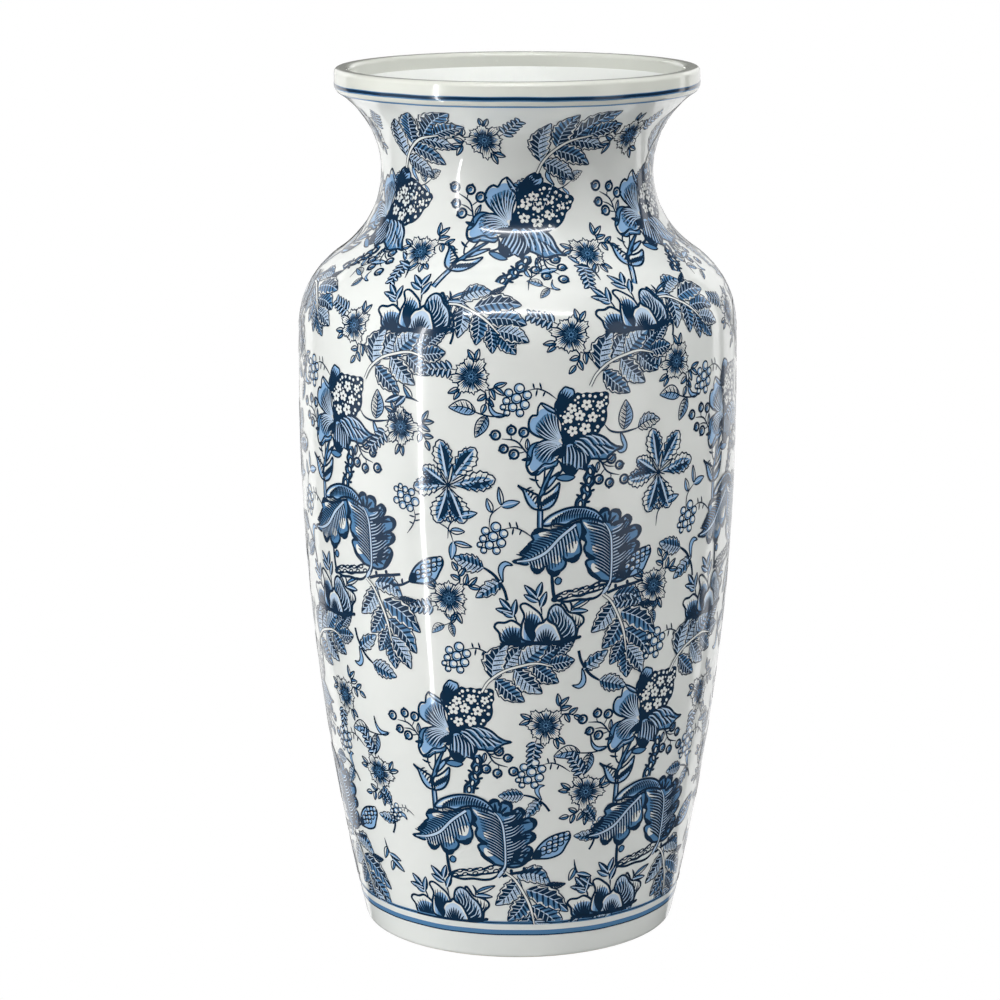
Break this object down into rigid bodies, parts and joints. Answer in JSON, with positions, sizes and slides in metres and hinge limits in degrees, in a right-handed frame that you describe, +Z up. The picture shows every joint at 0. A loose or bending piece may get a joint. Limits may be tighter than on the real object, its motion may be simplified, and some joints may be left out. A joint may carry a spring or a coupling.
{
  "type": "floral glazed pottery vase",
  "caption": "Tall tapered glazed vase with a round shoulder, waisted neck, flared mouth with a raised rim, and a turned foot ring; it holds cut or dried flowers.",
  "frame": {"origin": "centre of the foot ring, on the surface that the vase stands on", "axes": "+Z up along the axis that the vase is turned about, towards the mouth; -Y is the side seen in the picture"},
  "size_m": [0.192, 0.192, 0.38],
  "materials": {
    "white_glaze": "clear gloss glaze over a warm white body",
    "rim_glaze": "clear gloss glaze, cream where it lies thick on the rim",
    "bare_clay": "unglazed, wiped and slightly rough where the vase stands",
    "cobalt_print": "dark cobalt line work under clear gloss glaze",
    "cobalt_wash": "mid cobalt wash under clear gloss glaze"
  },
  "bodies": {
    "root": {"foot_ring": "bare_clay", "floor_disc": "white_glaze", "lower_body": "white_glaze", "upper_body": "white_glaze", "shoulder": "white_glaze", "neck": "white_glaze", "flared_mouth": "white_glaze", "rim_ring": "rim_glaze"}
  },
  "joints": []
}
